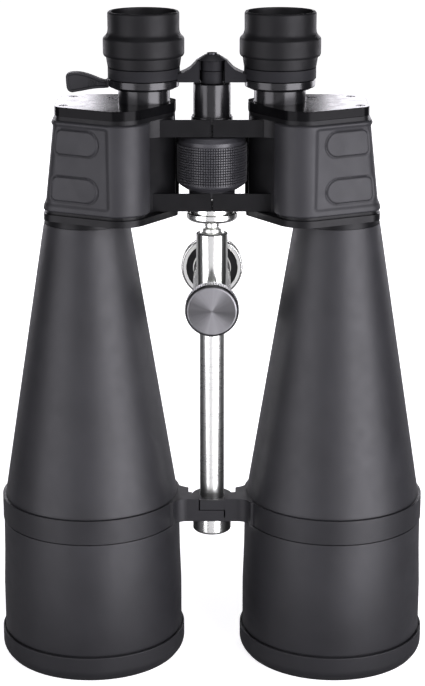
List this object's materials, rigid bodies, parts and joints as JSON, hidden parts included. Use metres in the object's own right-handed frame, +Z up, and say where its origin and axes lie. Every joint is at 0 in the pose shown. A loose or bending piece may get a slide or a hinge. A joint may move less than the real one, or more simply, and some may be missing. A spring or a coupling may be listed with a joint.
{
  "type": "astronomy binoculars",
  "caption": "Large zoom binoculars on a folding centre hinge, with centre focus, dioptre ring, zoom lever and a sliding tripod clamp.",
  "frame": {"origin": "middle of the base, at the height of the two objective rings that the part stands on", "axes": "+Z up along the barrels from the objectives to the eyepieces; +X to the right half, seen from the upper side in use; -Y towards that upper side, so the tripod foot faces +Y"},
  "size_m": [0.233, 0.1244, 0.353],
  "materials": {
    "rim_rubber": "matte, slightly grey from its fine grain",
    "ring_plastic": "matte black",
    "barrel_paint": "matte charcoal paint",
    "casting_paint": "satin black paint with a fine grain",
    "armour_rubber": "smooth matte charcoal",
    "gloss_black": "gloss black",
    "blackened_screw": "satin black",
    "polished_chrome": "polished",
    "turned_steel": "turned, fine circular grain",
    "bare_aluminium": "plain",
    "brass": "plain",
    "coated_glass": "coated"
  },
  "bodies": {
    "spine": {"hinge_rod": "polished_chrome", "end_nut": "polished_chrome", "end_washer": "turned_steel", "hinge_flange": "polished_chrome"},
    "left_half": {"left_objective_ring": "rim_rubber", "left_lens_retainer": "blackened_screw", "left_objective_lens": "coated_glass", "left_front_tube": "barrel_paint", "left_barrel_cone": "barrel_paint", "left_front_bridge": "casting_paint", "left_prism_housing": "casting_paint", "left_grip_cover": "armour_rubber", "left_cover_plate": "gloss_black", "left_cover_screws": "blackened_screw", "left_upper_prism": "coated_glass", "left_lower_prism": "coated_glass", "left_prism_shelf": "bare_aluminium"},
    "right_half": {"right_objective_ring": "rim_rubber", "right_lens_retainer": "blackened_screw", "right_objective_lens": "coated_glass", "right_front_tube": "barrel_paint", "right_barrel_cone": "barrel_paint", "right_front_bridge": "casting_paint", "right_prism_housing": "casting_paint", "right_grip_cover": "armour_rubber", "right_cover_plate": "gloss_black", "right_cover_screws": "blackened_screw", "right_upper_prism": "coated_glass", "right_lower_prism": "coated_glass", "right_prism_shelf": "bare_aluminium", "upper_hinge_sleeve": "gloss_black"},
    "focus_wheel": {"focus_wheel": "ring_plastic", "wheel_nut": "brass"},
    "carriage": {"focus_shaft": "gloss_black", "hub_cap": "casting_paint", "hub_screw": "turned_steel"},
    "left_arm": {"left_eyepiece_arm": "casting_paint", "left_eyepiece_barrel": "gloss_black", "left_base_ring": "ring_plastic", "left_eyepiece_head": "gloss_black", "left_eyecup": "rim_rubber", "left_eye_lens": "coated_glass"},
    "right_arm": {"right_eyepiece_arm": "casting_paint", "right_eyepiece_barrel": "gloss_black"},
    "left_zoom": {"left_zoom_ring": "gloss_black", "zoom_lever": "gloss_black"},
    "right_zoom": {"right_zoom_ring": "gloss_black"},
    "left_zoom_cell": {"left_zoom_cell": "bare_aluminium", "left_zoom_lens": "coated_glass"},
    "right_zoom_cell": {"right_zoom_cell": "bare_aluminium", "right_zoom_lens": "coated_glass"},
    "dioptre": {"right_dioptre_ring": "ring_plastic"},
    "right_head": {"right_eyepiece_head": "gloss_black", "right_eyecup": "rim_rubber", "right_eye_lens": "coated_glass"},
    "clamp_slider": {"clamp_liner": "ring_plastic"},
    "clamp": {"clamp_body": "polished_chrome", "tripod_foot": "polished_chrome", "foot_pad": "rim_rubber"},
    "knob": {"clamp_knob": "turned_steel"}
  },
  "joints": [
    {"name": "left_swing", "type": "hinge", "parent": "spine", "child": "left_half", "pos_m": [0, -0.01175, 0.085], "axis": [0, 0, -1], "range_deg": [0, 36]},
    {"name": "right_swing", "type": "hinge", "parent": "spine", "child": "right_half", "pos_m": [0, -0.01175, 0.085], "axis": [0, 0, 1], "range_deg": [0, 36]},
    {"name": "focus_slide", "type": "slide", "parent": "spine", "child": "carriage", "axis": [0, 0, 1], "range_m": [-0.0035, 0.0065]},
    {"name": "focus_wheel_spin", "type": "hinge", "parent": "spine", "child": "focus_wheel", "pos_m": [0, -0.01175, 0.275], "axis": [0, 0, 1], "range_deg": [-176, 326]},
    {"name": "left_arm_swing", "type": "hinge", "parent": "carriage", "child": "left_arm", "pos_m": [0, -0.01175, 0.325], "axis": [0, 0, -1], "range_deg": [0, 36]},
    {"name": "right_arm_swing", "type": "hinge", "parent": "carriage", "child": "right_arm", "pos_m": [0, -0.01175, 0.319], "axis": [0, 0, 1], "range_deg": [0, 36]},
    {"name": "zoom_turn", "type": "hinge", "parent": "left_arm", "child": "left_zoom", "pos_m": [-0.03517, -0.01175, 0.316], "axis": [0, 0, 1], "range_deg": [-45, 45]},
    {"name": "right_zoom_turn", "type": "hinge", "parent": "right_arm", "child": "right_zoom", "pos_m": [0.03517, -0.01175, 0.316], "axis": [0, 0, 1], "range_deg": [-45, 45]},
    {"name": "left_zoom_cell_slide", "type": "slide", "parent": "left_arm", "child": "left_zoom_cell", "axis": [0, 0, 1], "range_m": [-0.0041, 0.0041]},
    {"name": "right_zoom_cell_slide", "type": "slide", "parent": "right_arm", "child": "right_zoom_cell", "axis": [0, 0, 1], "range_m": [-0.0041, 0.0041]},
    {"name": "dioptre_turn", "type": "hinge", "parent": "right_arm", "child": "dioptre", "pos_m": [0.03517, -0.01175, 0.3275], "axis": [0, 0, 1], "range_deg": [-60, 60]},
    {"name": "dioptre_slide", "type": "slide", "parent": "dioptre", "child": "right_head", "axis": [0, 0, 1], "range_m": [-0.00071, 0.00071]},
    {"name": "clamp_slide", "type": "slide", "parent": "spine", "child": "clamp_slider", "axis": [0, 0, 1], "range_m": [-0.05, 0]},
    {"name": "clamp_swivel", "type": "hinge", "parent": "clamp_slider", "child": "clamp", "pos_m": [0, -0.01175, 0.201], "axis": [0, 0, 1], "range_deg": [-6, 6]},
    {"name": "knob_turn", "type": "hinge", "parent": "clamp", "child": "knob", "pos_m": [0, -0.01175, 0.201], "axis": [0, -1, 0], "range_deg": [0, 360]}
  ],
  "couplings": [
    {"joint": "right_swing", "follows": "left_swing", "ratio": 1},
    {"joint": "left_arm_swing", "follows": "left_swing", "ratio": 1},
    {"joint": "right_arm_swing", "follows": "left_swing", "ratio": 1},
    {"joint": "focus_wheel_spin", "follows": "focus_slide", "rad_per_m": 873},
    {"joint": "right_zoom_turn", "follows": "zoom_turn", "ratio": 1},
    {"joint": "left_zoom_cell_slide", "follows": "zoom_turn", "m_per_rad": 0.0051},
    {"joint": "right_zoom_cell_slide", "follows": "zoom_turn", "m_per_rad": 0.0051},
    {"joint": "dioptre_slide", "follows": "dioptre_turn", "m_per_rad": 0.00067}
  ]
}
